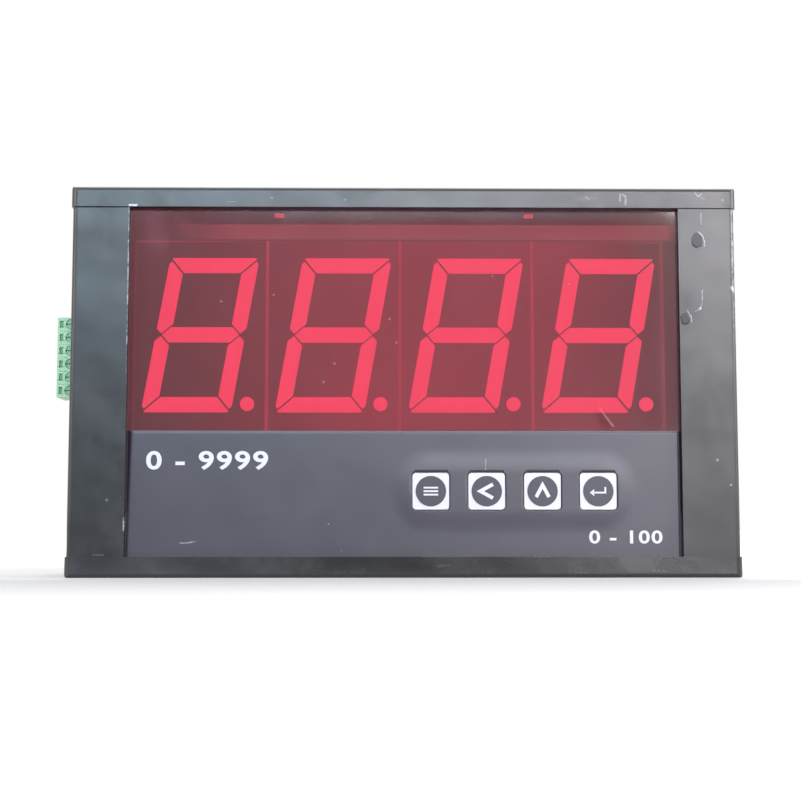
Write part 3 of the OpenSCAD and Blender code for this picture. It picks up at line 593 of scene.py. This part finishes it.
finishes = {
    "cap_black": cap_finish(),
    "side_black": side_finish(),
    "panel_black": plain("panel_paint", tone(42, 42, 45), 0.45, grain=0.8, grain_height=0.02),
    "window_red": window_finish(),
    "film_grey": film_finish(),
    "key_white": plain("key_white", tone(218, 217, 220), 0.38, mottle=0.02, grain_height=0.003),
    "key_dark": plain("key_dark", tone(69, 68, 78), 0.38, mottle=0.06, grain_height=0.003),
    "black_plastic": plain("black_plastic", tone(26, 26, 28), 0.45),
    "digit_housing": digit_finish(),
    "segment_red": segment_finish(),
    "board_display": display_board_finish(),
    "board_green": control_board_finish(),
    "steel": metal("zinc_screw", tone(196, 196, 200), 0.28, (1, 1, 8)),
    "tinned": metal("tin_plate", tone(205, 204, 200), 0.3),
    "brass": metal("brass_contact", tone(206, 168, 98), 0.3, (1, 1, 6)),
    "core": striped("core_sheets", tone(92, 92, 96), tone(40, 38, 38), 0.45, 0.7),
    "relay_blue": plain("relay_case", tone(40, 74, 150), 0.3, mottle=0.06),
    "can": metal("can_sleeve", tone(176, 178, 182), 0.25, (8, 1, 1)),
    "ribbon_grey": striped("ribbon", tone(150, 150, 152), tone(96, 96, 100), 0.5, 1.27),
    "terminal_green": terminal_finish(),
}
for node in NODES.values():
    for slot in node.material_slots:
        slot.material = finishes[slot.material.name.split(".")[0]]


# ---- Pieces on the front ----


def to_piece(name, mesh, body, material):
    """Puts a mesh in the scene as a piece that rides on a body."""
    piece = bpy.data.objects.new(name, mesh)
    bpy.context.scene.collection.objects.link(piece)
    mesh.materials.clear()
    mesh.materials.append(material)
    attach(piece, body)
    return piece


def prism(name, outlines, front, back):
    """A mesh of flat shapes in x and z, each a list of points in mm, from y front to y back."""
    shape = bmesh.new()
    for outline in outlines:
        near = [shape.verts.new((x * MM, front * MM, z * MM)) for x, z in outline]
        far = [shape.verts.new((x * MM, back * MM, z * MM)) for x, z in outline]
        shape.faces.new(near)
        shape.faces.new(far[::-1])
        for i in range(len(outline)):
            j = (i + 1) % len(outline)
            shape.faces.new((near[j], near[i], far[i], far[j]))
    bmesh.ops.recalc_face_normals(shape, faces=shape.faces)
    mesh = bpy.data.meshes.new(name)
    shape.to_mesh(mesh)
    shape.free()
    return mesh


# Side and corner radius of the film's openings for the keys
KEY_OPENING = 13.7
KEY_CORNER = 1.5
# The film swells over the keys: by how much, and how far the swelling reaches and is flat on top
SWELL = 0.2
SWELL_REACH = 14.5
SWELL_FLAT = 7.0
# The film is cut a little askew: its lower left corner reaches further out
ASKEW = 1.1
# How far print stands out from the surface it lies on, and its whole thickness
PRINT_OUT = 0.03
PRINT_THICK = 0.05


def rise(x, z):
    """How far in mm the film stands out at a point, over the switches behind it."""
    first, last = key_centres[0], key_centres[-1]
    nearest = min(max(x, first[0]), last[0])
    far = math.hypot(x - nearest, z - first[1])
    part = min(max((SWELL_REACH - far) / (SWELL_REACH - SWELL_FLAT), 0), 1)
    return SWELL * part * part * (3 - 2 * part)


def rounded_square(centre, side, radius, parts=6):
    """The outline of a square whose corners are arcs of so many parts."""
    inner = side / 2 - radius
    outline = []
    for turn in range(4):
        middle = math.radians(45 + 90 * turn)
        corner = (math.copysign(inner, math.cos(middle)), math.copysign(inner, math.sin(middle)))
        for i in range(parts + 1):
            angle = math.radians(90 * turn + 90 * i / parts)
            x = centre[0] + corner[0] + radius * math.cos(angle)
            z = centre[1] + corner[1] + radius * math.sin(angle)
            outline.append((x, z))
    return outline


def sheet(name, step):
    """A closed sheet over the film's outline, its front face shaped by rise()."""
    columns = round((film_high.x - film_low.x) / step)
    rows = round((film_high.z - film_low.z) / step)
    shape = bmesh.new()
    grids = []
    for swollen in (True, False):
        grid = []
        for j in range(rows + 1):
            z = film_low.z + (film_high.z - film_low.z) * j / rows
            left = film_low.x - ASKEW * (1 - j / rows)
            line = []
            for i in range(columns + 1):
                x = left + (film_high.x - left) * i / columns
                y = film_low.y - rise(x, z) if swollen else film_high.y
                line.append(shape.verts.new((x * MM, y * MM, z * MM)))
            grid.append(line)
        grids.append(grid)
    for grid in grids:
        for j in range(rows):
            for i in range(columns):
                shape.faces.new((grid[j][i], grid[j][i + 1], grid[j + 1][i + 1], grid[j + 1][i]))
    front, back = (
        grid[0] + [line[-1] for line in grid[1:]] + grid[-1][-2::-1] + [line[0] for line in grid[-2:0:-1]]
        for grid in grids
    )
    for i in range(len(front)):
        j = (i + 1) % len(front)
        shape.faces.new((front[i], front[j], back[j], back[i]))
    bmesh.ops.recalc_face_normals(shape, faces=shape.faces)
    mesh = bpy.data.meshes.new(name)
    shape.to_mesh(mesh)
    shape.free()
    return mesh


def key_film():
    """The swollen film with its four openings, in place of the flat one."""
    blank = bpy.data.objects.new("film_blank", sheet("film_blank", step=1.0))
    openings = [rounded_square(centre, KEY_OPENING, KEY_CORNER) for centre in key_centres]
    through = prism("film_cutter", openings, film_low.y - 2, film_high.y + 1)
    cutter = bpy.data.objects.new("film_cutter", through)
    for made in (blank, cutter):
        bpy.context.scene.collection.objects.link(made)
    cut = blank.modifiers.new("openings", "BOOLEAN")
    cut.operation = "DIFFERENCE"
    cut.solver = "EXACT"
    cut.object = cutter
    bpy.context.view_layer.update()
    mesh = bpy.data.meshes.new_from_object(blank.evaluated_get(bpy.context.evaluated_depsgraph_get()))
    mesh.name = "key_film"
    bpy.data.objects.remove(blank)
    bpy.data.objects.remove(cutter)
    film = to_piece("key_film", mesh, "case", finishes["film_grey"])
    for face in mesh.polygons:
        face.use_smooth = abs(face.normal.y) > 0.9
    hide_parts("keypad_film")


key_film()


def stroke(points, width):
    """The outline of a line of that width through the points, with mitred corners and square ends."""
    left, right = [], []
    for i, (x, z) in enumerate(points):
        before = points[max(i - 1, 0)]
        after = points[min(i + 1, len(points) - 1)]
        first = Vector((x - before[0], z - before[1])) if i else Vector((after[0] - x, after[1] - z))
        second = Vector((after[0] - x, after[1] - z)) if i < len(points) - 1 else first
        first.normalize()
        second.normalize()
        normal = Vector((-first.y - second.y, first.x + second.x)).normalized()
        reach = width / 2 / max(normal.dot(Vector((-first.y, first.x))), 0.3)
        left.append((x + normal.x * reach, z + normal.y * reach))
        right.append((x - normal.x * reach, z - normal.y * reach))
    return left + right[::-1]


def shifted(points, dx, dz):
    return [(x + dx, z + dz) for x, z in points]


# Signs on the keys, in mm from the middle of a key: three bars, two arrow heads and an entry arrow
THIN = 0.62
BOLD = 1.25
SIGNS = {
    1: [stroke([(-2.6, h), (2.6, h)], THIN) for h in (-1.25, 0, 1.25)],
    2: [stroke([(2.2, 2.45), (-2.3, 0), (2.2, -2.45)], BOLD)],
    3: [stroke([(-2.3, -2.1), (0, 2.2), (2.3, -2.1)], BOLD)],
    4: [
        stroke([(-1.9, -0.5), (2.5, -0.5), (2.5, 1.5)], THIN),
        [(-3.1, -0.5), (-1.5, 0.75), (-1.5, -1.75)],
    ],
}
disc_front = disc_boxes[0][0].y
for i, outlines in SIGNS.items():
    centre_x, centre_z = key_centres[i - 1]
    outlines = [shifted(outline, centre_x, centre_z) for outline in outlines]
    mesh = prism(f"key_sign_{i}", outlines, disc_front - PRINT_OUT, disc_front + PRINT_THICK - PRINT_OUT)
    to_piece(f"key_sign_{i}", mesh, f"key_{i}", finishes["key_white"])


def lettering(name, words, left, base, height, spread):
    """Plain numbers as a thin raised print on the film, placed by their lower left corner.

    They are spread sideways by a factor.
    """
    curve = bpy.data.curves.new(name, "FONT")
    curve.body = words
    # A little bolder than the plain font, and set a little wider
    curve.offset = 0.022
    curve.space_character = 1.12
    curve.resolution_u = 4
    curve.extrude = 0.5
    text = bpy.data.objects.new(name, curve)
    bpy.context.scene.collection.objects.link(text)
    bpy.context.view_layer.update()
    mesh = bpy.data.meshes.new_from_object(text.evaluated_get(bpy.context.evaluated_depsgraph_get()))
    bpy.data.objects.remove(text)
    low = Vector([min(v.co[k] for v in mesh.vertices) for k in range(3)])
    high = Vector([max(v.co[k] for v in mesh.vertices) for k in range(3)])
    scale = height / (high.y - low.y)
    for v in mesh.vertices:
        across, up, deep = v.co - low
        x, z = left + across * scale * spread, base + up * scale
        front = film_low.y - rise(x, z) - PRINT_OUT
        v.co = (x * MM, (front + PRINT_THICK * (1 - deep / (high.z - low.z))) * MM, z * MM)
    shape = bmesh.new()
    shape.from_mesh(mesh)
    bmesh.ops.remove_doubles(shape, verts=shape.verts, dist=1e-6)
    bmesh.ops.recalc_face_normals(shape, faces=shape.faces)
    shape.to_mesh(mesh)
    shape.free()
    mesh.name = name
    to_piece(name, mesh, "case", finishes["key_white"])


lettering("range_numbers", "0 - 9999", -92.3, 38.25, 6.8, 1.28)
lettering("input_numbers", "0 - 100", 66.0, 12.0, 4.75, 1.28)


# ---- Ribs on the plug, one between each pair of ways ----


def rib_tree():
    """Boxes in a row along z, for the ribs between the plug's ways."""
    tree = bpy.data.node_groups.new("way_ribs", "GeometryNodeTree")
    face = tree.interface
    face.new_socket("Geometry", in_out="INPUT", socket_type="NodeSocketGeometry")
    inputs = {}
    for label, kind in (
        ("Count", "NodeSocketInt"),
        ("Pitch", "NodeSocketFloat"),
        ("Start", "NodeSocketVector"),
        ("Size", "NodeSocketVector"),
        ("Finish", "NodeSocketMaterial"),
    ):
        inputs[label] = face.new_socket(label, in_out="INPUT", socket_type=kind).identifier
    face.new_socket("Geometry", in_out="OUTPUT", socket_type="NodeSocketGeometry")

    def add(kind, **sockets):
        made = tree.nodes.new(kind)
        for key, value in sockets.items():
            key = key.replace("_", " ")
            if isinstance(value, bpy.types.NodeSocket):
                tree.links.new(value, made.inputs[key])
            else:
                made.inputs[key].default_value = value
        return made

    entry = tree.nodes.new("NodeGroupInput")
    step = add("ShaderNodeCombineXYZ", Z=entry.outputs["Pitch"]).outputs[0]
    row = add(
        "GeometryNodeMeshLine",
        Count=entry.outputs["Count"],
        Start_Location=entry.outputs["Start"],
        Offset=step,
    )
    rib = add("GeometryNodeMeshCube", Size=entry.outputs["Size"])
    ribs = add("GeometryNodeInstanceOnPoints", Points=row.outputs[0], Instance=rib.outputs[0])
    real = add("GeometryNodeRealizeInstances", Geometry=ribs.outputs[0])
    shown = add("GeometryNodeSetMaterial", Geometry=real.outputs[0], Material=entry.outputs["Finish"])
    tree.links.new(shown.outputs[0], tree.nodes.new("NodeGroupOutput").inputs[0])
    return tree, inputs


def grown(name, tree, inputs, values, body, bevel):
    """The mesh that a tree makes with these values, its edges softened, as a piece on a body."""
    seed = bpy.data.objects.new(name + "_seed", bpy.data.meshes.new(name + "_seed"))
    bpy.context.scene.collection.objects.link(seed)
    nodes = seed.modifiers.new("grow", "NODES")
    nodes.node_group = tree
    for label, value in values.items():
        nodes[inputs[label]] = value
    soft = seed.modifiers.new("soft", "BEVEL")
    soft.width = bevel
    soft.segments = 2
    bpy.context.view_layer.update()
    made = seed.evaluated_get(bpy.context.evaluated_depsgraph_get())
    mesh = bpy.data.meshes.new_from_object(made)
    mesh.name = name
    bpy.data.objects.remove(seed)
    to_piece(name, mesh, body, values["Finish"])


# Number of ribs in a row, and the width of their bevelled edges in mm
RIB_COUNT = 5
RIB_BEVEL = 0.08
rib_group, rib_inputs = rib_tree()
plug_middle_z = (plug_low.z + plug_high.z) / 2
for name, x_mid, y_mid, size in (
    ("front_ribs", plug_low.x + 5.0, plug_low.y, (9.0, 0.5, 0.5)),
    ("entry_ribs", plug_low.x, (plug_low.y + plug_high.y) / 2, (0.4, 12.6, 0.5)),
):
    grown(
        name,
        rib_group,
        rib_inputs,
        {
            "Count": RIB_COUNT,
            "Pitch": WAY_PITCH * MM,
            "Start": (x_mid * MM, y_mid * MM, (plug_middle_z - (RIB_COUNT // 2) * WAY_PITCH) * MM),
            "Size": scaled(size, MM),
            "Finish": finishes["terminal_green"],
        },
        "plug",
        RIB_BEVEL * MM,
    )


# ---- Floor, light and camera ----


def floor():
    """Pale floor that turns white away from the part."""
    finish = Finish("floor")
    light = finish.node("ShaderNodeLightPath")
    mirrored = finish.larger(light.other("Is Glossy Ray"), light.other("Is Transmission Ray"))
    seen = finish.larger(light, mirrored)
    away = finish.near([(cap_low.x, 0.0), (cap_high.x, 0.0)], finish.x, finish.y)
    pale = 0.26 + 0.74 * finish.ramp(away, 30, 460)
    finish.put(
        Base_Color=(0.5, 0.5, 0.5, 1),
        Roughness=0.7,
        Emission_Color=finish.blend(seen * pale, (0, 0, 0), (1, 1, 1)),
        Emission_Strength=1.0,
    )
    bpy.ops.mesh.primitive_plane_add(size=12)
    plane = bpy.context.object
    plane.name = "floor"
    plane.data.materials.append(finish.material)


def sky():
    """White to the camera and in reflections, and a softer fill on the part."""
    world = bpy.data.worlds.new("studio")
    bpy.context.scene.world = world
    world.use_nodes = True
    tree = world.node_tree
    tree.nodes.clear()
    path = tree.nodes.new("ShaderNodeLightPath")
    either = tree.nodes.new("ShaderNodeMath")
    either.operation = "MAXIMUM"
    every = tree.nodes.new("ShaderNodeMath")
    every.operation = "MAXIMUM"
    tree.links.new(path.outputs["Is Camera Ray"], either.inputs[0])
    tree.links.new(path.outputs["Is Glossy Ray"], either.inputs[1])
    tree.links.new(either.outputs[0], every.inputs[0])
    tree.links.new(path.outputs["Is Transmission Ray"], every.inputs[1])
    fill = tree.nodes.new("ShaderNodeBackground")
    fill.inputs["Color"].default_value = (1, 1, 1, 1)
    fill.inputs["Strength"].default_value = 0.15
    white = tree.nodes.new("ShaderNodeBackground")
    white.inputs["Strength"].default_value = 1.0
    white.inputs["Color"].default_value = (1, 1, 1, 1)
    mix = tree.nodes.new("ShaderNodeMixShader")
    tree.links.new(every.outputs[0], mix.inputs[0])
    tree.links.new(fill.outputs[0], mix.inputs[1])
    tree.links.new(white.outputs[0], mix.inputs[2])
    output = tree.nodes.new("ShaderNodeOutputWorld")
    tree.links.new(mix.outputs[0], output.inputs["Surface"])


def softbox(name, place, aim, width, height, radiance, colour):
    """A lamp of that size in m and that brightness, turned to a point."""
    lamp = bpy.data.lights.new(name, "AREA")
    lamp.shape = "RECTANGLE"
    lamp.size = width
    lamp.size_y = height
    lamp.energy = radiance * width * height * math.pi
    lamp.color = colour
    box = bpy.data.objects.new(name, lamp)
    box.location = place
    box.rotation_euler = (Vector(aim) - Vector(place)).to_track_quat("-Z", "Y").to_euler()
    box.visible_camera = False
    bpy.context.scene.collection.objects.link(box)


def dark_cards():
    """Cards that only the part's reflections see: one behind the camera and one on the floor.

    They keep its lower front dark.
    """
    finish = Finish("card")
    finish.put(Base_Color=(0.03, 0.03, 0.03, 1), Roughness=0.9)
    left, right, top, far = -700, 360, 430, -1340
    wall = prism("wall_card", [[(left, 0), (right, 0), (right, top), (left, top)]], far - 5, far)
    ground = prism("ground_card", [[(left, 1), (right, 1), (right, 2), (left, 2)]], far + 10, -45)
    for mesh in (wall, ground):
        mesh.materials.append(finish.material)
        card = bpy.data.objects.new(mesh.name, mesh)
        card.visible_camera = False
        card.visible_shadow = False
        card.visible_diffuse = False
        bpy.context.scene.collection.objects.link(card)


# The camera: its place in m, how far it is turned aside and tilted up in degrees, and its lens in mm
CAMERA_PLACE = (-0.0081, -0.5258, 0.0178)
CAMERA_TURN = -0.77
CAMERA_TILT = 5.18
CAMERA_LENS = 62.9


def camera():
    view = bpy.data.cameras.new("view")
    view.sensor_width = 36
    view.lens = CAMERA_LENS
    view.clip_start = 0.01
    spot = bpy.data.objects.new("view", view)
    spot.matrix_world = (
        Matrix.Translation(CAMERA_PLACE)
        @ Matrix.Rotation(math.radians(CAMERA_TURN), 4, "Z")
        @ Matrix.Rotation(math.radians(90 + CAMERA_TILT), 4, "X")
    )
    bpy.context.scene.collection.objects.link(spot)
    bpy.context.scene.camera = spot


floor()
dark_cards()
sky()
softbox("left_box", (-0.36, -1.33, 0.57), (0, 0, 0.07), 0.52, 0.24, 14.5, (0.53, 0.81, 1.0))
softbox("middle_box", (0.06, -1.33, 0.57), (0, 0, 0.07), 0.32, 0.24, 18.0, (0.86, 0.90, 1.0))
softbox("right_box", (0.55, -1.33, 0.57), (0, 0, 0.07), 0.38, 0.24, 20.0, (0.98, 0.94, 1.0))
softbox("side_box", (0.62, -1.33, 0.31), (0, 0, 0.07), 0.40, 0.38, 5.5, (1, 0.95, 1.0))
softbox("low_box", (0.30, -1.33, 0.072), (0, 0, 0.03), 0.30, 0.10, 12.0, (1.0, 0.96, 1.0))
softbox("top_box", (0.0, 0.3, 1.0), (0, 0, 0.1), 1.4, 0.7, 2.6, (1, 1, 1))
softbox("right_side_box", (0.9, -0.3, 0.42), (0.1, 0, 0.1), 0.5, 0.5, 9.0, (1.0, 0.96, 1.0))
softbox("left_side_box", (-0.85, -0.45, 0.35), (-0.1, 0, 0.1), 0.5, 0.5, 2.8, (1.0, 0.98, 0.92))
softbox("back_box", (0.3, 1.4, 0.7), (0, 0, 0.07), 1.2, 0.7, 2.5, (1, 1, 1))
camera()

bpy.context.scene.view_settings.view_transform = "Standard"
